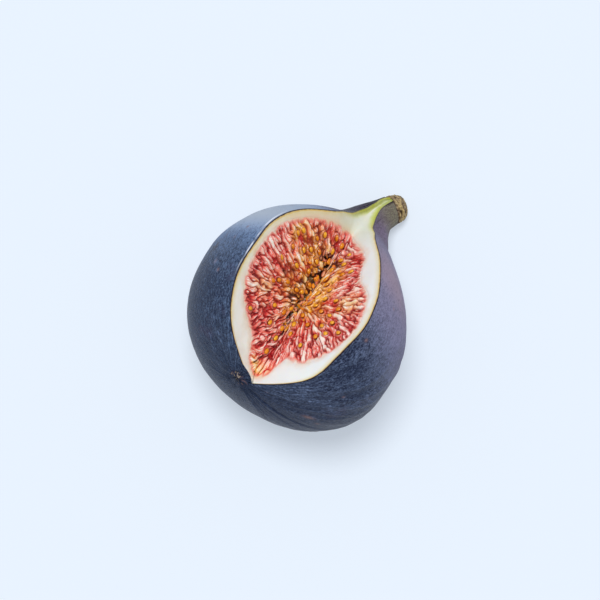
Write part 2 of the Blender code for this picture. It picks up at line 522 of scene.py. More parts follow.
# Small marks on the skin: distance along the centreline, turn from up in degrees, half length and half
# width in millimetres, how much paler the wax is there (or darker, below 0), and how much browner.
MARKS = (
    (-0.0228, -70.0, 0.28, 0.28, 2.2, 0.8),
    (-0.0198, -90.0, 1.30, 0.55, 0.25, 0.9),
    (-0.0183, -97.0, 0.60, 0.35, 0.15, 0.8),
    (-0.0142, -42.0, 1.40, 0.45, -0.7, 0.0),
    (-0.0120, -46.0, 1.20, 0.35, -0.6, 0.0),
    (-0.0136, -95.0, 1.60, 0.50, -0.6, 0.0),
    (-0.0075, -34.0, 0.40, 0.35, 0.1, 0.9),
    (-0.0032, 76.0, 1.50, 0.80, -0.8, 0.1),
    (-0.0058, 80.0, 2.20, 0.45, -0.9, 0.0),
    (-0.0005, 71.0, 0.80, 0.40, -0.5, 0.2),
    (-0.0086, 68.0, 0.55, 0.45, 0.9, 0.5),
    (-0.0110, 63.0, 0.40, 0.35, 0.1, 0.8),
    (0.0010, 57.0, 0.40, 0.30, 0.1, 0.8),
    (0.0140, 52.0, 0.50, 0.35, -0.2, 0.8),
    (-0.0020, 62.0, 0.30, 0.30, 0.1, 0.7),
    (0.0045, -38.0, 0.40, 0.35, 0.0, 0.7),
    (-0.0160, -62.0, 0.35, 0.30, 0.4, 0.6),
)


def skin_rings():
    """Distances along the centreline of the skin's rings, with one at each end of the cut."""
    polar = np.arange(EYE_RING_STEP, math.pi / 2, EYE_RING_STEP)
    eye = -EYE_DISTANCE * (np.cos(polar) ** 2) ** (1.0 / EYE_BLUNTNESS)
    neck = np.arange(0.0, STEM_END, NECK_RING_STEP)
    rings = np.concatenate([[-EYE_DISTANCE], eye, neck, [STEM_END]])
    for place in (CUT_START, CUT_END):
        rings[np.argmin(abs(rings - place))] = place
    return rings


def around_noise(along, turn, across, lengthwise, seed, layers=2):
    """Noise on the skin with so many features to a radian around, and their length in metres."""
    along = np.broadcast_to(along, turn.shape)
    points = np.stack([np.cos(turn) * across, np.sin(turn) * across, along / lengthwise], axis=-1)
    return layered_noise(points, seed, layers)


def skin_relief(along, turn, to_rim):
    """The height of the skin's ribs, wrinkles, folds and lumps."""
    radius = radius_at(along[:, 0])[:, None]
    near_eye = smooth_step(0.0165, 0.006, radius) * (along < 0.0)
    at_scar = smooth_step(0.0030, 0.0015, radius) * (along < 0.0)
    on_neck = smooth_step(0.020, 0.034, along)
    low_right = smooth_step(-0.35, -0.8, np.sin(turn)) * smooth_step(0.022, 0.004, along)
    sway = turn + 0.25 * near_eye * around_noise(along, turn, 1.2, 0.0012, 11)
    layers = (
        (SWELLS, 1.0, turn, 1.6, 0.016, 1, 2),
        (WRINKLES, 1.0 - on_neck, turn, 9.0, 0.014, 5, 3),
        (EYE_RIBS, near_eye, sway, 7.0, 0.0030, 13, 3),
        (SCAR_LUMPS, at_scar, turn, 3.0, 0.0009, 21, 3),
        (NECK_RIBS, on_neck, turn, 2.1, 0.010, 17, 3),
        (FINE_NECK_RIBS, on_neck, turn, 5.0, 0.014, 27, 3),
    )
    relief = sum(height * where * around_noise(along, *rest) for height, where, *rest in layers)
    relief += LOW_FOLDS * low_right * (1.0 - 2.5 * abs(around_noise(along, turn, 5.0, 0.022, 9)))
    groove = bell((turn - NECK_GROOVE_TURN) / NECK_GROOVE_SPREAD)
    relief -= NECK_GROOVE * groove * smooth_step(0.023, 0.029, along) * smooth_step(0.0370, 0.0340, along)
    relief -= UNDER_CAP * smooth_step(CAP_START + 0.2 * MM, CAP_START + 0.9 * MM, along)
    lip = bell((to_rim - 0.45 * MM) / (0.28 * MM)) * (1.0 - 0.8 * on_neck)
    return relief + LIP * lip * (0.6 + around_noise(along, turn, 5.0, 0.006, 25))


def spot_on_skin(points, along, turn, half_length, half_width):
    """1 at a place on the skin, falling to 0 around it, for points in the row frame."""
    middle, outwards = skin_point(along, turn)
    beside, _ = skin_point(along, turn + 0.01)
    sideways = unit(beside - middle)
    offset = points - middle
    lengthwise = offset @ np.cross(outwards, sideways) / half_length
    return bell(lengthwise, offset @ sideways / half_width, offset @ outwards / half_length)


def build_skin(material):
    along = skin_rings()
    in_cut = np.clip(along, CUT_START, CUT_END)
    _, turn_left = rim_of(in_cut, True)
    _, turn_right = rim_of(in_cut, False)
    even = np.linspace(0.0, 1.0, SKIN_COLUMNS)
    share = (0.5 * even + 0.25 * (1.0 - np.cos(math.pi * even)))[None, :]
    span = 2 * math.pi + turn_right - turn_left
    turn = turn_left[:, None] + span[:, None] * share
    along = np.broadcast_to(along[:, None], turn.shape)
    smooth, outwards = skin_points(along, turn)
    is_open = (along > CUT_START) & (along < CUT_END)
    to_rim = np.minimum(share, 1.0 - share) * span[:, None] * radius_at(along[:, 0])[:, None]
    to_rim = np.where(is_open, to_rim, 20.0 * MM)
    for end in (CUT_START, CUT_END):
        corner = on_cut(np.array([end]), np.array([0.0]))[0][0]
        to_rim = np.minimum(to_rim, np.linalg.norm(smooth - ORIGIN - corner, axis=-1))
    relief = skin_relief(along, turn, to_rim)
    points = smooth + (relief * smooth_step(0.0, RIM_FADE, to_rim))[..., None] * outwards - ORIGIN
    points[..., 2] = np.maximum(points[..., 2], CAD_BOX[0][2])

    paler, browner = np.zeros(turn.shape), np.zeros(turn.shape)
    for place, side, half_length, half_width, wax, brown in MARKS:
        mark = spot_on_skin(points, place, math.radians(side), half_length * MM, half_width * MM)
        paler += wax * mark
        browner += brown * mark
    scar = smooth_step(0.0030, 0.0016, radius_at(along[:, 0]))[:, None] * (along < 0.0)
    flecks = smooth_step(0.2, 0.6, layered_noise(points / (0.7 * MM), 29, 2))
    paler += scar * (1.3 * flecks - 0.8)
    browner += scar * flecks * 0.8

    grain = np.stack([np.cos(turn), np.sin(turn), along / BODY_RADIUS], axis=-1)
    fatness = radius_at(along[:, 0])[:, None] / BODY_RADIUS
    spot = np.stack([fatness * np.cos(turn), fatness * np.sin(turn), along / BODY_RADIUS], axis=-1)
    faces = grid_faces(len(points), SKIN_COLUMNS)[:, ::-1]
    return make_object("skin", points, faces, material, weld=True, grain=grain, spot=spot,
                       relief=relief / MM, to_rim=to_rim / MM, paler=paler, browner=browner)


# The scales' distances from the eye's middle, their half lengths and half widths are in millimetres.
SCALES = 26
SCALE_SIDES = 10
SCALE_RINGS = 6
SCALE_DISTANCES = (0.3, 2.1)
SCALE_HALF_LENGTHS = (0.26, 0.50)
SCALE_HALF_WIDTHS = (0.14, 0.26)
SCALE_TILTS = (0.1, 0.6)
SCALE_DARK = colour(44, 36, 46)
SCALE_PALE = colour(208, 190, 184)


def build_eye_scales(material):
    """Small dry scales that close the fruit's eye."""
    rng = np.random.default_rng(11)
    points, faces, tints = [], [], []
    centre, _ = skin_point(-EYE_DISTANCE, 0.0)
    for number in range(SCALES):
        reach = rng.uniform(*SCALE_DISTANCES) * MM
        turn = rng.uniform(-math.pi, math.pi)
        along = -EYE_DISTANCE * (1.0 - (reach / BODY_RADIUS) ** 2) ** (1.0 / EYE_BLUNTNESS)
        middle, outwards = skin_point(along, turn)
        inwards = centre - middle
        inwards = unit(inwards - (inwards @ outwards) * outwards)
        sideways = np.cross(outwards, inwards)
        tilt = rng.uniform(*SCALE_TILTS)
        inwards = inwards * math.cos(tilt) + outwards * math.sin(tilt)
        half_length = rng.uniform(*SCALE_HALF_LENGTHS) * MM
        half_width = rng.uniform(*SCALE_HALF_WIDTHS) * MM
        tint = mix(SCALE_DARK, SCALE_PALE, rng.random() ** 1.8)
        for ring in range(SCALE_RINGS + 1):
            share = ring / SCALE_RINGS
            width = half_width * math.sin(math.pi * min(share * 0.92 + 0.08, 1.0)) ** 0.7
            for side in range(SCALE_SIDES):
                around = 2 * math.pi * side / SCALE_SIDES
                rough = 1.0 + 0.25 * rng.standard_normal()
                points.append(middle + inwards * half_length * (2 * share - 1)
                              + sideways * width * rough * math.cos(around)
                              + outwards * (0.10 * MM + 0.3 * width * math.sin(around)))
                tints.append(tint * (0.6 + 0.4 * share) * rng.uniform(0.8, 1.1))
        start = number * (SCALE_RINGS + 1) * SCALE_SIDES
        end = start + SCALE_RINGS * SCALE_SIDES
        faces += (grid_faces(SCALE_RINGS + 1, SCALE_SIDES, closed=True) + start).tolist()
        faces += [list(range(start, start + SCALE_SIDES))[::-1], list(range(end, end + SCALE_SIDES))]
    return make_object("eye_scales", np.array(points), faces, material, tint=np.array(tints))


def skin_material():
    """Dark skin under a grey-blue wax, thin at the neck's left. The wax is thicker on top and thinner towards
    the eye, partly as wax and partly as painted light from above.
    """
    material, tree, shader = new_material("skin", Specular_IOR_Level=0.18)
    grain = attribute_of(tree, "grain", "Vector")
    relief, to_rim = attribute_of(tree, "relief"), attribute_of(tree, "to_rim")
    paler, browner = attribute_of(tree, "paler"), attribute_of(tree, "browner")
    upwards, leftwards, along = attribute_of(tree, "spot", "Vector").parts()
    up_around, left_around, _ = grain.parts()
    place = place_of(tree)
    sway = place.node("ShaderNodeTexNoise", {"Vector": place, "Scale": 260.0, "Detail": 2.0}, "Color")
    swayed = {0: sway, 1: (0.10, 0.10, 0.16), 2: grain}
    swayed = sway.node("ShaderNodeVectorMath", swayed, operation="MULTIPLY_ADD")
    patches = place.texture(100.0, 4.0)
    wrinkles = swayed.scaled(1.0, 1.0, 0.35).texture(42.0, 5.0, 0.65)
    bands = swayed.scaled(1.0, 1.0, 0.30).texture(9.0)
    threads = swayed.scaled(1.0, 1.0, 0.22).texture(110.0, 3.0, 0.7)
    mottle = place.texture(700.0, 4.0, 0.75)
    powder = place.texture(2300.0)

    to_right = leftwards.ranged(0.30, -0.50)
    on_flank = to_right * along.ranged(-0.40, 0.05) * upwards.ranged(0.30, 0.70, 0.45, 1.0)
    to_right = to_right * along.ranged(-0.55, 0.15, 0.2, 1.0)
    mauve = to_right * along.ranged(0.10, 0.45) * upwards.ranged(0.35, 0.70)
    on_left = leftwards.ranged(0.0, 0.9)
    on_top = on_left * along.ranged(-0.10, 0.30) * upwards.ranged(-0.30, 0.45)
    to_neck = along.ranged(0.55, 1.1)
    to_stem = along.ranged(1.15, 1.45)
    dark_neck = to_neck * left_around.ranged(0.30, 0.62) * up_around.ranged(-0.60, 0.05)
    near_eye = along.ranged(-0.55, -0.85)

    # Painted light as well as wax: the wax's share rises upwards, on top, on the upper left and on the right
    # flank, and falls towards the eye, as if lit from above.
    wax = upwards.ranged(-0.3, 0.5) * 0.40 + 0.34 - along.ranged(0.50, -0.60) * 0.60
    wax = wax + on_left * along.ranged(-0.5, 0.4) * 0.38 + on_flank * 0.26 + on_top * 0.52
    patterns = (patches, 0.30), (wrinkles, 0.70), (bands, 0.40), (mottle, 0.65), (powder, 1.2), (threads, 1.5)
    for pattern, weight in patterns:
        wax = wax + (pattern - 0.5) * weight
    wax = wax + (wrinkles - 0.47) * near_eye * 1.6 + relief * 0.35 + paler * 0.6 - dark_neck * 1.5
    least = powder * threads * 1.3 - 0.25
    wax = wax.maths("MAXIMUM", least).maths("MAXIMUM", 0.0)

    under = blended(to_right, colour(20, 33, 62), colour(27, 25, 48))
    under = blended(to_neck, under, colour(38, 24, 42))
    under = blended(to_stem, under, colour(84, 70, 64))
    under = blended(dark_neck, under, colour(24, 10, 34))
    bloom = blended(to_right, colour(121, 147, 188), colour(140, 136, 168))
    # On top the bloom is paler, partly as painted light from above.
    bloom = blended(on_top, bloom, colour(178, 188, 203))
    bloom = blended(mauve, bloom, colour(162, 142, 162))
    bloom = blended(to_neck, bloom, colour(140, 124, 150))
    olive = blended(wrinkles.ranged(0.4, 0.65), colour(118, 110, 102), colour(166, 164, 138))
    bloom = blended(to_stem, bloom, olive)
    base = blended(wax, under, bloom)
    base = blended(patches.ranged(0.58, 0.76, 0.0, 0.25), base, colour(84, 62, 92))
    base = blended(browner * 0.8, base, colour(150, 112, 104))
    # A painted highlight: a broken pale line along the skin's lip near the rim, on the left.
    lip = to_rim.ranged(0.30, 0.45) * to_rim.ranged(0.95, 0.60) * leftwards.ranged(0.35, 0.60)
    lip = lip * bands.ranged(0.34, 0.50) * along.ranged(-0.50, -0.25) * along.ranged(0.38, 0.15)
    base = blended(lip * 0.95, base, colour(226, 231, 246))
    edge = to_rim.ranged(0.30, 0.14) * to_neck.ranged(0.0, 1.0, 1.0, 0.5)
    base = blended(edge, base, colour(30, 10, 24))
    height = powder + threads * 1.2 + mottle * 0.8 + wrinkles * (near_eye * 2.0 + 1.4)
    rough = wax.ranged(0.0, 0.9, 0.40, 0.62)
    feed(shader, Base_Color=base, Roughness=rough, Normal=height.bump(0.6, 0.20 * MM))
    return material


# ------------------------------------------------------------------------------
# The cut faces, laid out flat: distance along the centreline, and distance across from the valley,
# which is positive on the left face and negative on the right one

FLESH_COLUMNS = 261
FLESH_WAVES = 0.05 * MM
FLESH_UNDER_PULP = 1.3 * MM
FLESH_HOLLOW_DEPTH = 2.4 * MM
FLESH_CRACK_DEPTH = 0.5 * MM
CRACK_BROWN = colour(40, 14, 8)
VALLEY_BLEND = 2.5 * MM

# The pulp's outline in millimetres, from the valley near the eye round the left face to the neck, and
# back over the right face.
PULP_OUTLINE = (
    (-21.2, 1.4), (-20.2, 4.2), (-18.5, 6.0), (-16.0, 8.0), (-15.0, 11.5), (-12.4, 17.0), (-8.0, 20.0),
    (-2.5, 20.6), (3.0, 19.8), (8.5, 17.3), (13.3, 13.2), (17.2, 8.0), (20.2, 3.0), (21.4, 0.3),
    (19.2, -2.2), (15.6, -7.6), (13.6, -10.2), (11.1, -11.4), (8.9, -12.2), (6.0, -14.2), (3.2, -18.0),
    (1.4, -19.4), (-3.5, -20.7), (-7.0, -20.8), (-12.0, -18.4), (-14.9, -13.5), (-15.8, -9.0),
    (-14.8, -5.4), (-17.3, -3.2), (-20.0, -1.8),
)

# Where the strands that start at each distance along the centreline aim for in the valley.
FLOW_LEFT = (
    (-0.0190, -0.0120), (-0.0160, -0.0050), (-0.0125, -0.0005), (-0.0075, 0.0010), (-0.0025, 0.0015),
    (0.0020, 0.0025), (0.0050, 0.0043), (0.0100, 0.0080), (0.0155, 0.0125), (0.0190, 0.0170),
    (0.0215, 0.0205),
)
FLOW_RIGHT = (
    (-0.0190, 0.0000), (-0.0130, 0.0040), (-0.0070, 0.0020), (-0.0037, 0.0010), (0.0030, -0.0003),
    (0.0060, 0.0025), (0.0115, 0.0100), (0.0140, 0.0140), (0.0180, 0.0200), (0.0215, 0.0225),
)

# How far the strands sway from that aim, in radians: everywhere, and more in the winding ones.
SWAY = 0.34
WINDING_SWAY = 0.75
SWAY_SIZE = 2.8 * MM

# How rounded the bottom of the valley is at each distance along the centreline.
VALLEY_FILLET = ((-0.0235, 0.0002), (0.0180, 0.0003), (0.0250, 0.0022), (0.0330, 0.0014), (0.0430, 0.0006))

# The cracks and creases near the eye, in millimetres: both ends, half width, and depth of colour. They are
# cut in and painted near-black brown, partly their own colour and partly painted shade.
CRACKS = (
    (-19.5, 3.0, -18.6, 2.5, 0.20, 1.0), (-17.5, 2.2, -16.4, 1.8, 0.22, 1.0),
    (-16.4, 1.8, -12.2, 0.6, 0.10, 0.8), (-23.1, 0.0, -20.6, 1.0, 0.13, 0.6),
    (-10.4, 1.2, -9.2, 0.9, 0.16, 0.9), (-9.0, 0.5, -7.8, 0.6, 0.20, 1.0),
    (-6.9, 0.3, -4.6, 0.5, 0.22, 1.0), (-12.9, 2.9, -12.1, 2.6, 0.20, 0.9),
    (-14.2, 1.2, -13.2, 1.2, 0.16, 0.8),
)

# Dark holes in the pulp, in millimetres: along, across, their spreads, and their strength.
HOLES = (
    (12.4, 1.8, 1.8, 1.3, 1.2), (6.8, 2.4, 1.0, 1.0, 1.0), (0.2, 10.3, 0.45, 0.45, 0.9),
    (1.7, 1.5, 1.2, 0.6, 0.9), (-1.4, 3.6, 0.6, 0.5, 0.8), (-1.8, 0.7, 1.2, 0.6, 1.0),
    (1.4, 4.9, 0.5, 0.8, 0.7), (9.3, 2.2, 0.5, 0.5, 0.7),
)


def places_of(spots, places):
    """How strongly each place lies in a list of spots, from 0 to 1."""
    total = np.zeros(places.shape[:-1])
    for along, across, along_spread, across_spread, strength in spots:
        along_off = (places[..., 0] / MM - along) / along_spread
        across_off = (places[..., 1] / MM - across) / across_spread
        total += strength * bell(along_off, across_off)
    return total.clip(0.0, 1.0)


def on_cut(along, across, height=0.0):
    """Points at a height over the cut faces in the row frame, and the faces' normals there."""
    along, across, height = np.broadcast_arrays(along, across, height)
    valley_left, valley_up, lean = cut_section(along, across > 0.0)
    _, _, other = cut_section(along, across <= 0.0)
    side = np.where(across > 0.0, 1.0, -1.0)
    share = 0.5 + 0.5 * smooth_step(0.0, VALLEY_BLEND, abs(across))
    over_left = -side * (share * np.cos(lean) - (1.0 - share) * np.cos(other))
    over_up = side * (share * np.sin(lean) - (1.0 - share) * np.sin(other))
    length = np.hypot(over_left, over_up)
    over_left, over_up = over_left / length, over_up / length
    fillet = smooth_curve(VALLEY_FILLET, along.ravel())[:, 0].reshape(along.shape)
    rise = (np.cos(lean) + np.cos(other)) / 4 * np.maximum(fillet - abs(across), 0.0) ** 2 / fillet
    leftwards = valley_left + abs(across) * np.sin(lean) + height * over_left
    upwards = valley_up + abs(across) * np.cos(lean) + height * over_up + rise
    points, _, left, up = in_section(along, leftwards, upwards)
    return points - ORIGIN, over_left[..., None] * left + over_up[..., None] * up


def closed_curve(corners, steps):
    """Points on a smooth closed curve through the corners."""
    corners = np.array(corners, dtype=float)
    before, after, later = (np.roll(corners, shift, axis=0) for shift in (1, -1, -2))
    points = []
    for t in np.arange(steps) / steps:
        points.append(0.5 * (2 * corners + (after - before) * t
                             + (2 * before - 5 * corners + 4 * after - later) * t**2
                             + (3 * corners - before - 3 * after + later) * t**3))
    return np.stack(points, axis=1).reshape(-1, 2)


def distance_to(points, start, end):
    edge = end - start
    share = np.clip((points - start) @ edge / (edge @ edge), 0.0, 1.0)
    return np.linalg.norm(points - start - share[..., None] * edge, axis=-1)


def distance_inside(points, outline):
    """The distance of each point from a closed outline, positive inside it."""
    nearest = np.full(points.shape[:-1], np.inf)
    inside = np.zeros(points.shape[:-1], dtype=bool)
    for start, end in zip(outline, np.roll(outline, -1, axis=0)):
        edge = end - start
        nearest = np.minimum(nearest, distance_to(points, start, end))
        crosses = (start[1] > points[..., 1]) != (end[1] > points[..., 1])
        at = start[0] + (points[..., 1] - start[1]) / (edge[1] if edge[1] else 1.0) * edge[0]
        inside ^= crosses & (points[..., 0] < at)
    return np.where(inside, nearest, -nearest)


PULP_EDGE = closed_curve(PULP_OUTLINE, 5) * MM


def flat_noise(places, size, seed, layers=2):
    """Noise over the flat layout of the cut, with features of the given size."""
    points = np.concatenate([places / size, np.zeros(places.shape[:-1] + (1,))], axis=-1)
    return layered_noise(points, seed, layers)


def flow(places):
    """The direction in the flat layout in which the strands run, from the rind to the valley."""
    along, across = places[..., 0], places[..., 1]
    left = smooth_curve(FLOW_LEFT, along.ravel())[:, 0].reshape(along.shape)
    right = smooth_curve(FLOW_RIGHT, along.ravel())[:, 0].reshape(along.shape)
    target = np.where(across > 0.0, left, right)
    winding = smooth_step(-0.003, -0.009, along) * smooth_step(0.0, 0.003, across)
    winding = winding * smooth_step(0.018, 0.012, across)
    sway = (SWAY + WINDING_SWAY * winding) * flat_noise(places, SWAY_SIZE, 41)
    angle = np.arctan2(-across, target - along) + sway
    return np.stack([np.cos(angle), np.sin(angle)], axis=-1)


def streaks_along_flow(places, size, reach, seed, steps):
    """Noise drawn out into streaks along the flow, with a standard deviation of 1."""
    total = flat_noise(places, size, seed, 1)
    for way in (1.0, -1.0):
        moved = places
        for _ in range(steps // 2):
            moved = moved + way * reach / steps * flow(moved)
            total = total + flat_noise(moved, size, seed, 1)
    return total / total.std()


def cavity(places):
    """How much of the hollow in the pulp's middle is open at each place, from 0 to 1."""
    along, across = places[..., 0], places[..., 1]
    length = smooth_step(-0.0090, -0.0050, along) * smooth_step(0.0150, 0.0120, along)
    spine = np.stack([along, np.zeros_like(along)], axis=-1)
    width = (0.45 + 1.1 * flat_noise(places, 1.3 * MM, 43)) * MM
    centre = (1.3 + 0.7 * flat_noise(spine, 4.0 * MM, 47)) * MM
    middle = length * smooth_step(width + 0.5 * MM, width - 0.3 * MM, abs(across - centre))
    holes = places_of(HOLES, places) + 0.12 * flat_noise(places, 0.7 * MM, 51)
    return np.clip(0.75 * middle + smooth_step(0.35, 0.75, holes), 0.0, 1.0)


def crack(places):
    """1 inside the cracks near the eye, and 0 away from them."""
    total = np.zeros(places.shape[:-1])
    waver = 0.14 * MM * flat_noise(places, 0.8 * MM, 49)
    for along, across, to_along, to_across, half_width, strength in CRACKS:
        ends = np.array([(along, across), (to_along, to_across)]) * MM
        nearest = (distance_to(places, *ends) + waver) / (half_width * MM)
        total = np.maximum(total, strength * smooth_step(1.8, 0.5, nearest))
    return total


def rind_colour(places, inner):
    """The cut rind's colour: cream-grey on the left face, nearly white on the right one."""
    along, across = places[..., 0], places[..., 1]
    clouds = flat_noise(places, 3.0 * MM, 61, 3)
    right = smooth_step(0.5 * MM, -0.5 * MM, across)
    shade = mix(colour(243, 243, 236), colour(240, 245, 247), right)
    neck = smooth_step(0.013, 0.027, along)
    shade = mix(shade, colour(223, 223, 208), neck)
    top = smooth_step(0.003, 0.012, along) * smooth_step(0.027, 0.020, along) * (1.0 - right)
    shade = mix(shade, colour(216, 198, 146), 0.55 * top)
    shade = mix(shade, colour(220, 206, 170), np.clip(0.07 + 0.3 * clouds, 0.0, 0.4) * (1.0 - right))
    warm = smooth_step(-2.2 * MM, 0.2 * MM, inner + 0.7 * MM * clouds)
    shade = mix(shade, colour(238, 188, 148), 0.55 * warm)
    tip = bell((along + 20.0 * MM) / (1.9 * MM), (across - 1.6 * MM) / (3.0 * MM))
    return mix(shade, colour(216, 172, 116), 0.75 * tip * (0.8 + 0.4 * clouds).clip(0.0, 1.2))


def build_flesh(material):
    along = skin_rings()
    along = along[(along >= CUT_START) & (along <= CUT_END)]
    reach_left, _ = rim_of(along, True)
    reach_right, _ = rim_of(along, False)
    column = np.linspace(1.0, -1.0, FLESH_COLUMNS)
    share = 0.4 * column + 0.6 * np.sin(column * math.pi / 2)
    reach = np.where(share > 0.0, reach_left[:, None], reach_right[:, None])
    across = share[None, :] * reach
    along = np.broadcast_to(along[:, None], across.shape)
    places = np.stack([along, across], axis=-1)
    inner = distance_inside(places, PULP_EDGE)
    split = crack(places)
    under_pulp = smooth_step(-0.9 * MM, 0.6 * MM, inner)
    height = FLESH_WAVES * (1.0 - under_pulp) * flat_noise(places, 4.0 * MM, 53)
    height -= (FLESH_UNDER_PULP + FLESH_HOLLOW_DEPTH * cavity(places)) * under_pulp
    height -= FLESH_CRACK_DEPTH * split
    to_rim = reach - abs(across)
    height *= smooth_step(0.0, 1.5 * MM, to_rim)
    points, _ = on_cut(along, across, height)
    shade = mix(rind_colour(places, inner), CRACK_BROWN, 0.85 * split)
    faces = grid_faces(len(along), FLESH_COLUMNS)
    return make_object("flesh", points, faces, material, weld=True, tint=shade,
                       from_rim=to_rim / MM, along=along / MM, across=across / MM)


def flesh_material():
    """The rind's tint from the mesh, golden near the skin and green at the neck."""
    material, tree, shader = new_material(
        "flesh", Roughness=0.40, Specular_IOR_Level=0.4, Subsurface_Weight=0.25, Subsurface_Scale=0.9 * MM,
        Subsurface_Radius=(1.0, 0.7, 0.5), Coat_Weight=0.15, Coat_Roughness=0.2)
    fibres = place_of(tree).texture(900.0, 4.0)
    from_rim = attribute_of(tree, "from_rim") + (fibres - 0.5) * 0.25
    along = attribute_of(tree, "along")
    on_left = attribute_of(tree, "across").ranged(-0.2, 0.4)
    at_neck = along.ranged(22.0, 32.0)
    golden = blended(at_neck, colour(226, 206, 128), colour(206, 204, 84))
    green = blended(along.ranged(33.0, 40.0), colour(196, 202, 84), colour(150, 164, 34))
    yellow = blended(at_neck, colour(220, 186, 84), colour(176, 178, 50))
    base = blended(from_rim.ranged(2.3, 0.6, 0.0, 0.45), attribute_of(tree, "tint", "Color"), golden)
    base = blended(at_neck * from_rim.ranged(2.2, 0.5), base, green)
    base = blended(at_neck * on_left * from_rim.ranged(1.7, 0.3) * 0.75, base, colour(112, 112, 44))
    base = blended(from_rim.ranged(0.75, 0.4, 0.0, 0.80), base, yellow)
    edge = from_rim.ranged(0.26, 0.12) * along.ranged(34.0, 24.0, 0.2, 1.0)
    base = blended(edge, base, colour(60, 26, 34))
    base = blended(fibres.ranged(0.35, 0.75, 0.0, 0.12), base, colour(250, 246, 226))
    feed(shader, Base_Color=base, Normal=fibres.bump(0.2, 0.12 * MM))
    return material


# ------------------------------------------------------------------------------
# The pulp: strands that run from the rind to the valley, with crimson lines between them

PULP_ROWS = 340
PULP_COLUMNS = 285
PULP_MARGIN = 1.1 * MM
STRAND_WIDTH = 1.25 * MM
STRAND_LENGTH = 4.4 * MM
STREAK_WIDTH = 0.70 * MM
STREAK_LENGTH = 5.5 * MM
LINE_WIDTH = 0.40

# The pulp's relief: the depth of the grooves, and the heights of slow waves, strands, their differences,
# fine fibres, and the dips under the seeds. Then how far the edge, the hollow and the cracks go down.
GROOVE_DEPTH = 0.53 * MM
WAVES = 0.22 * MM
STRANDS = 0.62 * MM
STRAND_DIFFERENCES = 0.13 * MM
FIBRES = 0.035 * MM
SEED_DIPS = 0.34 * MM
EDGE_DROP = 0.12 * MM
HOLLOW_DEPTH = 1.9 * MM
CRACK_DEPTH = 0.45 * MM

SEED_LENGTH = 0.76 * MM
SEED_WIDTH = 0.57 * MM
SEED_SIZES = (0.88, 1.10)
SEED_RINGS = 9
SEED_SIDES = 14
LUMP_RINGS = 9
LUMP_SIDES = 10
LUMP_PROFILE = np.array([0.0, 0.55, 0.80, 0.95, 1.0, 1.0, 0.90, 0.65, 0.0])

CRIMSON = colour(120, 0, 14)
RED = colour(212, 24, 34)
ROSE = colour(232, 78, 70)
BLUSH = colour(244, 122, 108)
PETAL = colour(248, 190, 174)
PETAL_WHITE = colour(255, 232, 222)
BURNT = colour(150, 46, 0)
ORANGE = colour(224, 96, 4)
OCHRE = colour(212, 134, 6)
AMBER = colour(250, 172, 36)
CREAM = colour(255, 226, 152)
FLAME = colour(244, 104, 0)
YELLOW = colour(255, 182, 0)
SUNLIT = colour(255, 198, 38)
# A near-black brown for painted shade.
SHADE_BROWN = colour(46, 14, 4)

# The lumps lie between two places along the hollow, round a middle across it with a spread, in
# millimetres. Lengths and half widths are between two values.
LUMPS = 105
LUMPS_ALONG = (-7.5, 14.0)
LUMPS_ACROSS = (1.2, 1.7)
LUMP_LENGTHS = (0.9, 2.0)
LUMP_HALF_WIDTHS = (0.26, 0.52)
# Each lump's colours underneath, on its sides and on top: the dark underside is painted shade and the pale
# top a painted highlight.
LUMP_COLOURS = (
    (BURNT, ORANGE, AMBER),
    (BURNT, OCHRE, AMBER),
    (SHADE_BROWN, OCHRE, CREAM),
    (SHADE_BROWN, colour(140, 66, 14), colour(206, 124, 40)),
    (CRIMSON, colour(196, 84, 50), colour(240, 170, 130)),
)

# Golden, sunny, shaded and creamy places in the pulp, in millimetres: along, across, their spreads, and their
# strength. The sunny places are painted brighter and paler, partly as painted light, and in the shaded places
# the grooves are painted near-black, as painted shade.
GOLDEN = (
    (3.5, 4.0, 8.5, 7.0, 1.0), (11.0, 8.0, 4.5, 4.5, 0.55), (9.3, 14.2, 2.4, 1.9, 1.2),
    (3.0, -3.0, 6.5, 3.6, 1.1), (9.0, -3.0, 3.0, 3.0, 0.7), (-3.0, -9.5, 4.0, 2.5, 0.4),
    (-7.0, 12.5, 3.0, 3.0, 0.25), (-19.8, 1.0, 1.6, 3.6, 0.7), (0.5, -13.0, 2.5, 2.0, 0.4),
)
SUNNY = (
    (2.8, -3.4, 6.5, 3.2, 1.3), (9.0, -3.5, 3.0, 2.4, 0.7), (-19.8, 1.0, 1.6, 3.6, 0.5),
    (9.3, 14.2, 2.0, 1.6, 0.7),
)
SHADED_HOLLOWS = (
    (1.5, 2.8, 5.5, 2.0, 1.0), (3.0, 1.6, 8.0, 2.2, 1.0), (12.2, 2.2, 3.2, 3.2, 1.2),
    (13.0, -2.6, 2.6, 2.2, 0.8), (0.2, 10.3, 0.8, 0.8, 1.0), (2.6, 8.3, 0.9, 0.9, 0.8),
    (-1.5, 4.0, 1.6, 1.4, 0.8), (8.5, 15.0, 0.9, 0.9, 0.6), (-9.5, -14.5, 1.5, 1.2, 0.3),
    (14.5, 9.5, 3.0, 2.5, 0.35),
)
CREAMY = (
    (0.2, -15.8, 2.6, 2.4, 0.8), (-19.8, 1.0, 1.8, 3.6, 1.0), (6.0, -3.6, 3.2, 1.8, 0.5),
    (-8.0, 15.5, 2.0, 1.6, 0.45), (10.5, 16.0, 3.0, 1.4, 0.4), (-6.5, 13.0, 2.2, 1.8, 0.35),
)

# Where the pulp fades out into the rind in streaks.
BAY = ((7.0, -12.5, 3.2, 3.5, 1.0),)

# Where the strands are narrow and long.
STREAKY = ((4.5, -8.5, 5.0, 5.5, 1.0), (-12.5, -3.0, 5.0, 2.6, 0.9), (16.0, 7.0, 5.0, 5.0, 0.4))

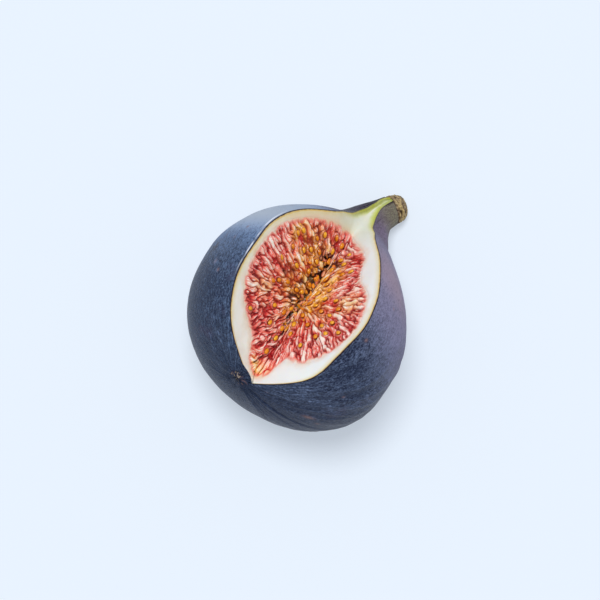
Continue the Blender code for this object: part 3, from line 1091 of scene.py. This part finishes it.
# Where the seeds lie on each face, in millimetres.
SEEDS = (
    (-15.2, 2.0), (-11.2, 1.9), (-8.2, 1.7), (-7.0, 7.6), (-10.5, 6.0), (-0.5, 8.0), (-2.5, 10.6),
    (1.1, 13.9), (4.0, 8.5), (7.7, 9.7), (9.5, 8.1), (12.4, 8.6), (14.5, 7.6), (9.4, 4.4), (14.6, 2.4),
    (8.5, 14.1), (10.2, 13.2), (17.0, 4.0), (11.2, 5.6), (-4.2, 12.2), (17.6, 0.9), (6.2, 4.6),
    (0.6, 4.4), (-13.4, 13.2), (5.4, 13.0), (1.8, 2.6), (4.6, 1.9), (-3.2, 2.6), (-5.6, 4.0),
    (-9.0, -10.5), (-8.1, -13.0), (-7.9, -16.9), (-4.9, -13.0), (-5.9, -10.5), (-2.8, -10.8),
    (-1.2, -12.6), (1.2, -10.3), (-5.6, -5.8), (0.0, -4.5), (1.8, -6.4), (3.6, -2.8), (0.6, -2.2),
    (6.2, -3.5), (8.0, -2.0), (9.1, -6.6), (13.8, -2.5), (15.2, -4.3), (-8.2, -1.9), (12.4, -4.6),
    (9.6, -9.2), (-1.8, -7.6), (-5.4, -1.2), (-11.6, -7.4), (-2.8, -2.4), (11.0, -1.6), (4.4, -6.0),
)


def strand_field(places, streaky):
    """A field that is 0 on the lines between the strands, and further from 0 inside them."""
    strands = streaks_along_flow(places, STRAND_WIDTH, STRAND_LENGTH, 81, 11)
    streaks = streaks_along_flow(places, STREAK_WIDTH, STREAK_LENGTH, 82, 13)
    return strands * (1.0 - streaky) + streaks * streaky


def from_seeds(places, beds, aims):
    """The distance of each place from the nearest seed's middle, in the seed's half sizes."""
    nearest = np.full(places.shape[:-1], np.inf)
    for bed, aim in zip(beds, aims):
        offset = places - bed
        lengthwise = offset @ aim / SEED_LENGTH
        crosswise = (offset[..., 1] * aim[0] - offset[..., 0] * aim[1]) / SEED_WIDTH
        nearest = np.minimum(nearest, np.hypot(lengthwise, crosswise))
    return nearest


def pulp_colour(places, field, hue, fine, seed_distance):
    """The strands' colour: crimson lines round rose and white strands, and gold near the middle, with painted
    glints and painted shade.
    """
    golden = np.clip(places_of(GOLDEN, places) * (1.0 + 0.35 * hue), 0.0, 1.0)
    # The sunny places are a brighter yellow and paler, partly the pulp's own gold and partly painted light.
    sunny = places_of(SUNNY, places)
    tip = smooth_step(-15.5 * MM, -18.5 * MM, places[..., 0])
    line = bell(field / LINE_WIDTH) * np.clip(1.0 + 0.15 * hue, 0.0, 1.0) * (1.0 - 0.75 * tip)
    body = smooth_step(0.30, 1.10, abs(field) + 0.20 * fine)
    gold_side = mix(ORANGE, OCHRE, smooth_step(-0.6, 0.6, hue))
    gold_side = mix(gold_side, mix(FLAME, YELLOW, smooth_step(-1.2, 0.5, hue)), sunny)
    side = mix(mix(RED, ROSE, smooth_step(-1.0, 1.2, hue)), gold_side, golden)
    pale = smooth_step(-0.5, 1.5, hue + 0.55 * field)
    # The crests are whiter on the right face, partly as painted light.
    crest = mix(BLUSH, mix(PETAL_WHITE, PETAL, smooth_step(-3.0 * MM, 3.0 * MM, places[..., 1])), pale)
    gold_pale = smooth_step(0.4, 2.2, hue + 0.5 * field + 0.3 * sunny)
    gold_crest = mix(mix(AMBER, SUNLIT, sunny), mix(CREAM, PETAL_WHITE, sunny), gold_pale)
    crest = mix(crest, gold_crest, 0.9 * golden)
    shade = mix(side, crest, body)
    shade = mix(shade, mix(CRIMSON, BURNT, golden * (1.0 - 0.4 * sunny)), line)
    creamy = places_of(CREAMY, places) * smooth_step(0.1, 0.7, abs(field))
    shade = mix(shade, mix(CREAM, AMBER, smooth_step(0.0, 1.2, fine)), (0.8 * creamy).clip(0.0, 1.0))
    # Painted highlights: small white glints on the strands.
    glint = smooth_step(0.6, 1.3, fine + 0.4 * abs(field)) * body
    shade = mix(shade, colour(255, 248, 240), (0.95 * glint).clip(0.0, 1.0))
    # Painted shade: in the shaded places the low parts between the strands go near-black brown.
    hollow_shade = places_of(SHADED_HOLLOWS, places) * smooth_step(1.3, 0.2, abs(field) + 0.4 * hue)
    shade = mix(shade, SHADE_BROWN, 0.92 * hollow_shade)
    # Round and under each seed its bed is a darker burnt red, partly its own colour and partly painted shade.
    return mix(shade, mix(RED, BURNT, 0.7), 0.7 * smooth_step(1.50, 1.15, seed_distance))


def build_pulp(name, is_left, material):
    """One face's pulp, a sheet of rounded strands with grooves between them, and its seeds' beds."""
    beds = np.array([spot for spot in SEEDS if (spot[1] > 0.0) == is_left]) * MM
    aims = flow(beds)
    side = PULP_EDGE[:, 1].max() if is_left else PULP_EDGE[:, 1].min()
    along = np.linspace(PULP_EDGE[:, 0].min() - PULP_MARGIN, PULP_EDGE[:, 0].max() + PULP_MARGIN, PULP_ROWS)
    across = np.linspace(0.0, side + math.copysign(PULP_MARGIN, side), PULP_COLUMNS)
    grid = np.stack(np.meshgrid(along, across, indexing="ij"), axis=-1)
    faces = grid_faces(PULP_ROWS, PULP_COLUMNS)
    kept = distance_inside(grid, PULP_EDGE).ravel() > -PULP_MARGIN
    used, numbers = np.unique(faces[kept[faces].all(axis=1)], return_inverse=True)
    faces = numbers.reshape(-1, 4)
    if is_left:
        faces = faces[:, ::-1]
    places = grid.reshape(-1, 2)[used]

    inner = distance_inside(places, PULP_EDGE)
    field = strand_field(places, places_of(STREAKY, places))
    hue = streaks_along_flow(places, 1.9 * MM, 3.0 * MM, 83, 5)
    fine = 0.5 * streaks_along_flow(places, 0.26 * MM, 1.3 * MM, 84, 5)
    seed_distance = from_seeds(places, beds, aims)
    pad = smooth_step(2.3, 1.5, seed_distance)
    field = field * (1.0 - pad) + pad * (2.2 - 1.1 * seed_distance)

    round_top = 1.0 - (1.0 - np.minimum(abs(field) / 1.3, 1.0)) ** 2
    dip = smooth_step(1.2, 0.7, seed_distance)
    depth = smooth_step(-0.9 * MM, 1.2 * MM, inner)
    height = WAVES * flat_noise(places, 3.0 * MM, 85) + (STRANDS + STRAND_DIFFERENCES * hue) * round_top
    height += FIBRES * fine - SEED_DIPS * dip - GROOVE_DEPTH - HOLLOW_DEPTH * cavity(places)
    edge = smooth_step(-0.45 * MM, -1.0 * MM, inner)
    height = depth * height - EDGE_DROP * edge - CRACK_DEPTH * crack(places)
    points, _ = on_cut(places[:, 0], places[:, 1] + math.copysign(1e-7, side), height)

    shade = pulp_colour(places, field, hue, fine, seed_distance)
    # Painted shade: the open hollow is painted near-black brown.
    shade = mix(shade, SHADE_BROWN, 0.85 * smooth_step(0.2, 0.9, cavity(places)))
    fading = 0.45 + 1.6 * places_of(BAY, places)
    into = inner + fading * MM * (0.45 * field + 0.4 * hue + 0.5 * fine)
    rind = rind_colour(places, inner)
    fringe = mix(rind, colour(236, 112, 100), smooth_step(-0.9 * MM, 0.3 * MM, into))
    shade = mix(fringe, shade, smooth_step(-0.3 * MM, 0.9 * MM, into))
    shade = mix(rind, shade, smooth_step(-0.95 * MM, -0.45 * MM, inner))
    shade = mix(shade, CRACK_BROWN, 0.85 * crack(places))
    wet = depth * (1.0 - 0.5 * cavity(places))
    return make_object(name, points, faces, material, tint=np.clip(shade, 0.0, 1.0), wet=wet), (beds, aims)


def tubes(path, height, half_width, half_height, roll, sides):
    """Rings of points round paths over the cut faces, and how far up each point is round its ring."""
    centres, normals = on_cut(path[..., 0], path[..., 1], height)
    forwards = unit(np.gradient(centres, axis=1))
    sideways = unit(np.cross(normals, forwards))
    upwards = np.cross(forwards, sideways)
    roll = np.broadcast_to(roll[:, None, None], half_width.shape + (1,))
    wide = np.cos(roll) * sideways + np.sin(roll) * upwards
    high = np.cos(roll) * upwards - np.sin(roll) * sideways
    turn = np.arange(sides) * 2 * math.pi / sides
    wide = (half_width[..., None] * wide)[:, :, None, :] * np.cos(turn)[None, None, :, None]
    high = (half_height[..., None] * high)[:, :, None, :] * np.sin(turn)[None, None, :, None]
    offsets = wide + high
    lift = (offsets * normals[:, :, None, :]).sum(axis=-1)
    reach = np.maximum(half_width, half_height)[..., None] + 1e-9
    return centres[:, :, None, :] + offsets, lift / reach


def tube_faces(count, rings, sides):
    one = grid_faces(rings, sides, closed=True)
    starts = np.arange(count)[:, None, None] * rings * sides
    return (one[None, :, :] + starts).reshape(-1, 4)


def build_lumps(material, seed):
    """Loose golden and brown pieces that lie in and over the hollow in the middle."""
    rng = np.random.default_rng(seed)
    middles = np.stack([rng.uniform(*LUMPS_ALONG, LUMPS), rng.normal(*LUMPS_ACROSS, LUMPS)], axis=1) * MM
    lengths = rng.uniform(*LUMP_LENGTHS, LUMPS) * MM
    angle = rng.normal(0.0, 0.6, LUMPS)
    aims = flow(middles)
    aims = np.stack([aims[:, 0] * np.cos(angle) - aims[:, 1] * np.sin(angle),
                     aims[:, 0] * np.sin(angle) + aims[:, 1] * np.cos(angle)], axis=1)
    sideways = np.stack([-aims[:, 1], aims[:, 0]], axis=1)
    share = np.linspace(-0.5, 0.5, LUMP_RINGS)
    bend = rng.normal(0.0, 0.3, LUMPS)[:, None] * (share**2)[None, :]
    steps = share[None, :, None] * aims[:, None, :] + bend[..., None] * sideways[:, None, :]
    path = middles[:, None, :] + lengths[:, None, None] * steps
    half_width = rng.uniform(*LUMP_HALF_WIDTHS, LUMPS)[:, None] * MM * LUMP_PROFILE
    half_height = half_width * rng.uniform(0.6, 0.95, LUMPS)[:, None]
    tilt = rng.uniform(-0.35, 0.30, LUMPS) * MM
    height = rng.uniform(-0.70, -0.05, LUMPS)[:, None] * MM + 2.0 * tilt[:, None] * share[None, :]
    points, top = tubes(path, height, half_width, half_height, rng.normal(0.0, 0.4, LUMPS), LUMP_SIDES)
    kinds = rng.integers(0, len(LUMP_COLOURS), LUMPS)
    shaded_undersides, sides, lit_tops = np.array(LUMP_COLOURS)[kinds].transpose(1, 0, 2)[:, :, None, None, :]
    # Painted light: each lump is darker underneath and paler on top.
    shade = mix(shaded_undersides, sides, smooth_step(-0.4, 0.3, top))
    shade = mix(shade, lit_tops, smooth_step(0.3, 1.0, top))
    faces = tube_faces(LUMPS, LUMP_RINGS, LUMP_SIDES)
    return make_object("lumps", points, faces, material, weld=True, tint=shade, wet=np.ones(top.shape))


def pulp_material():
    material, tree, shader = new_material(
        "pulp", Specular_IOR_Level=0.25, Subsurface_Weight=0.12, Subsurface_Scale=0.3 * MM,
        Subsurface_Radius=(1.0, 0.35, 0.2), Coat_Roughness=0.10)
    wet = attribute_of(tree, "wet")
    fibres = place_of(tree).texture(2400.0)
    tint = attribute_of(tree, "tint", "Color")
    base = blended(fibres.ranged(0.40, 0.80, 0.0, 0.10), tint, colour(248, 206, 180))
    feed(shader, Base_Color=base, Roughness=wet.ranged(0.0, 1.0, 0.42, 0.30),
         Coat_Weight=wet.ranged(0.0, 1.0, 0.05, 0.22), Normal=fibres.bump(0.25, 0.08 * MM))
    return material


def build_seeds(beds, material, seed):
    """A golden seed in each bed, which is a place in the flat layout and a direction."""
    rng = np.random.default_rng(seed)
    middles = np.concatenate([bed[0] for bed in beds])
    aims = np.concatenate([bed[1] for bed in beds])
    count = len(middles)
    half_length = SEED_LENGTH * rng.uniform(*SEED_SIZES, count)
    polar = np.linspace(0.0, math.pi, SEED_RINGS)
    steps = -np.cos(polar)[None, :, None] * half_length[:, None, None] * aims[:, None, :]
    path = middles[:, None, :] + steps
    profile = np.sin(polar) * (1.0 + 0.16 * np.cos(polar))
    half_width = SEED_WIDTH * rng.uniform(*SEED_SIZES, count)[:, None] * profile
    half_height = half_width * 0.85
    height = np.broadcast_to(rng.uniform(-0.04, 0.16, count)[:, None] * MM, half_width.shape)
    points, top = tubes(path, height, half_width, half_height, np.zeros(count), SEED_SIDES)
    warm = rng.random(count)[:, None, None]
    shade = mix(colour(228, 132, 8), colour(248, 182, 44), np.broadcast_to(warm, top.shape))
    # Each seed is darker towards its lower side, partly its own darker rim and partly painted shade.
    shade = mix(colour(132, 46, 2), shade, smooth_step(-0.1, 0.7, top))
    # A painted highlight: a pale line along each seed's top.
    shade = mix(shade, colour(255, 226, 136), 0.55 * smooth_step(0.82, 0.98, top))
    faces = tube_faces(count, SEED_RINGS, SEED_SIDES)
    return make_object("seeds", points, faces, material, weld=True, tint=shade)


def seed_material():
    material, tree, shader = new_material(
        "seed", Roughness=0.30, Specular_IOR_Level=0.30, Subsurface_Weight=0.15, Subsurface_Scale=0.5 * MM,
        Subsurface_Radius=(1.0, 0.5, 0.15), Coat_Weight=0.35, Coat_Roughness=0.10)
    grain = place_of(tree).texture(2600.0)
    base = blended(grain.ranged(0.4, 0.8, 0.0, 0.25), attribute_of(tree, "tint", "Color"), colour(170, 84, 8))
    feed(shader, Base_Color=base, Normal=grain.bump(0.25, 0.08 * MM))
    return material


# ------------------------------------------------------------------------------
# The stem's cut end: a rough, corky cap

CAP_START = 0.0391
CAP_RINGS = 70
CAP_SIDES = 120
CAP_CUT_TURN = math.radians(52.0)
CAP_HOLE_ALONG = 0.0408
CAP_HOLE_TURN = math.radians(-28.0)
CAP_HOLE_RADIUS = 0.60 * MM
CAP_LUMPS = 0.20 * MM
CAP_FOLDS = 0.12 * MM
CAP_HOLE_RIM = 0.16 * MM
CAP_HOLE_DEPTH = 0.90 * MM
CAP_LIFT = 0.04 * MM
CAP_SINK = 0.30 * MM
CAP_SINK_OVER_CUT = 1.6 * MM
BARK = colour(84, 62, 48)
BARK_SHADE = colour(80, 56, 44)
BARK_EDGE = colour(66, 44, 48)
BARK_START = colour(62, 42, 48)
CORK = colour(192, 166, 116)
CORK_OLIVE = colour(134, 128, 84)
CORK_GOLD = colour(200, 172, 104)
HOLE_SHADE = colour(10, 2, 2)


def build_stem_end(material):
    along = np.linspace(CAP_START, STEM_END, CAP_RINGS)[:, None]
    turn = np.linspace(-math.pi, math.pi, CAP_SIDES, endpoint=False)[None, :]
    along, turn = np.broadcast_arrays(along, turn)
    points, outwards = skin_points(along, turn)
    points = points - ORIGIN
    rough = layered_noise(points / (1.1 * MM), 91, 4)
    folds = 1.0 - 2.0 * abs(noise(points / (0.8 * MM), 95))
    from_hole = np.hypot((along - CAP_HOLE_ALONG) / 0.8, (turn - CAP_HOLE_TURN) * radius_at(along) / 1.4)
    hole = smooth_step(1.25 * CAP_HOLE_RADIUS, 0.70 * CAP_HOLE_RADIUS, from_hole + 0.10 * MM * rough)
    ring = bell((from_hole - 2.0 * CAP_HOLE_RADIUS) / (0.45 * MM))
    over_cut = bell((turn - CAP_CUT_TURN) / 0.45)
    start = smooth_step(CAP_START, CAP_START + 0.7 * MM, along + 0.30 * MM * rough - 0.2 * MM * over_cut)
    tip = smooth_step(STEM_END - 0.7 * MM, STEM_END, along)
    height = (CAP_LUMPS * rough + CAP_FOLDS * folds + CAP_HOLE_RIM * ring) * (1.0 - tip)
    height = (height - CAP_HOLE_DEPTH * hole + CAP_LIFT) * start
    height -= (CAP_SINK + CAP_SINK_OVER_CUT * over_cut) * (1.0 - start)
    above_floor = smooth_step(-0.2 * MM, 1.2 * MM, points[..., 2])
    points = points + (height * above_floor)[..., None] * outwards
    points[..., 2] = np.maximum(points[..., 2], CAD_BOX[0][2])
    # The cap is paler on its lumps and darker in its low places, partly the cork's own colour and partly
    # painted shade.
    shade = mix(BARK, CORK, smooth_step(-0.6, 0.9, rough + 0.4 * folds))
    shade = mix(shade, CORK_OLIVE, 0.6 * smooth_step(0.1, 0.8, noise(points / (1.6 * MM), 97)))
    # The raised ring round the hole is golden, partly its own colour and partly a painted highlight.
    shade = mix(shade, CORK_GOLD, 0.8 * ring)
    # Darker still in the lowest places, partly painted shade.
    shade = mix(shade, BARK_SHADE, 0.8 * smooth_step(0.1, -0.9, rough))
    edge = smooth_step(1.7 * MM, 0.5 * MM, along - CAP_START + 0.5 * MM * rough + 0.4 * MM * folds)
    shade = mix(shade, BARK_EDGE, 0.8 * edge)
    # Painted shade: the hole is painted near-black.
    shade = mix(shade, HOLE_SHADE, smooth_step(0.2, 0.6, hole))
    shade = mix(BARK_START, shade, start)
    all_points = np.vstack([points.reshape(-1, 3), points[-1].mean(axis=0)])
    tint = np.vstack([shade.reshape(-1, 3), shade[-1].mean(axis=0)])
    last_ring = np.arange(CAP_SIDES) + (CAP_RINGS - 1) * CAP_SIDES
    tip_fan = [(one, other, len(all_points) - 1) for one, other in zip(last_ring, np.roll(last_ring, -1))]
    faces = grid_faces(CAP_RINGS, CAP_SIDES, closed=True).tolist() + tip_fan
    return make_object("stem_end", all_points, faces, material, tint=tint, hollow=np.append(hole, 0.0))


def stem_material():
    material, tree, shader = new_material("stem_end", Roughness=0.72, Specular_IOR_Level=0.3)
    cork = place_of(tree).texture(1900.0, 5.0, 0.7)
    solid = attribute_of(tree, "hollow").ranged(0.5, 0.1)
    tint = attribute_of(tree, "tint", "Color")
    base = blended(cork.ranged(0.45, 0.65, 0.0, 0.45) * solid, tint, colour(208, 186, 148))
    base = blended(cork.ranged(0.52, 0.36, 0.0, 0.75), base, colour(48, 28, 30))
    feed(shader, Base_Color=base, Normal=cork.bump(0.6, 0.2 * MM))
    return material


# ------------------------------------------------------------------------------
# The floor, the light and the camera

CAMERA_PLACE = (-0.00317, 0.00273, 0.64269)
CAMERA_TURN = math.radians(-51.488)
CAMERA_LENS = 159.8
CAMERA_SENSOR = 36.0
FLOOR_SIZE = 8.0
FLOOR_GAP = 0.02 * MM
FLOOR_COLOUR = (0.398, 0.435, 0.486)
PALE_BLUE = (0.815, 0.896, 1.0)
FLOOR_GLOW = 0.50
STUDIO_LIGHT = (0.90, 0.95, 1.0)
STUDIO_STRENGTH = 0.36


def build_floor():
    material, _, shader = new_material(
        "floor", Roughness=0.9, Specular_IOR_Level=0.1, Base_Color=opaque(FLOOR_COLOUR),
        Emission_Color=opaque(PALE_BLUE), Emission_Strength=FLOOR_GLOW)
    half = FLOOR_SIZE / 2
    corners = (-half, -half), (half, -half), (half, half), (-half, half)
    corners = np.array([(*corner, CAD_BOX[0][2] - FLOOR_GAP) for corner in corners])
    make_object("floor", corners, [[0, 1, 2, 3]], material)


def add_sun(name, strength, spread, azimuth, elevation, shade):
    """A soft sun. Its azimuth is measured from +X towards +Y, in degrees."""
    light = bpy.data.lights.new(name, "SUN")
    light.energy = strength
    light.angle = math.radians(spread)
    light.color = shade
    obj = bpy.data.objects.new(name, light)
    turn, height = math.radians(azimuth), math.radians(elevation)
    towards = (math.cos(turn) * math.cos(height), math.sin(turn) * math.cos(height), math.sin(height))
    obj.rotation_mode = "QUATERNION"
    obj.rotation_quaternion = Vector(towards).to_track_quat("Z", "Y")
    bpy.context.scene.collection.objects.link(obj)


def light_scene():
    """One soft sun in a pale studio, whose walls look as bright as the floor but light the fig less."""
    world = bpy.data.worlds.new("studio")
    world.use_nodes = True
    tree = world.node_tree
    glow = tree.nodes["Background"]
    glow.inputs["Color"].default_value = opaque(STUDIO_LIGHT)
    glow.inputs["Strength"].default_value = STUDIO_STRENGTH
    walls = add_node(tree, "ShaderNodeBackground", {"Color": opaque(PALE_BLUE), "Strength": 1.0})
    seen = add_node(tree, "ShaderNodeLightPath").outputs["Is Camera Ray"]
    inputs = {0: Value(seen), 1: Value(glow.outputs[0]), 2: Value(walls.outputs[0])}
    either = add_node(tree, "ShaderNodeMixShader", inputs)
    tree.links.new(either.outputs[0], tree.nodes["World Output"].inputs["Surface"])
    bpy.context.scene.world = world
    add_sun("key", strength=2.3, spread=20.0, azimuth=48.5, elevation=74.0, shade=(1.0, 0.99, 0.97))
    bpy.context.scene.view_settings.view_transform = "Standard"


def place_camera():
    data = bpy.data.cameras.new("camera")
    data.lens = CAMERA_LENS
    data.sensor_width = CAMERA_SENSOR
    camera = bpy.data.objects.new("camera", data)
    camera.location = CAMERA_PLACE
    camera.rotation_euler = (0.0, 0.0, CAMERA_TURN)
    bpy.context.scene.collection.objects.link(camera)
    bpy.context.scene.camera = camera


# ------------------------------------------------------------------------------
# The whole


def build_fig():
    dress(build_skin(skin_material()), "skin", "fig")
    dress(build_flesh(flesh_material()), "flesh")
    pulp = pulp_material()
    left, left_beds = build_pulp("pulp_left", True, pulp)
    right, right_beds = build_pulp("pulp_right", False, pulp)
    dress(left, "pulp")
    dress(right, "pulp")
    dress(build_lumps(pulp, 5), "pulp")
    dress(build_seeds((left_beds, right_beds), seed_material(), 7), "seed")
    cork = stem_material()
    dress(build_stem_end(cork), "stem")
    dress(build_eye_scales(cork), "skin")


build_floor()
light_scene()
build_fig()
place_camera()
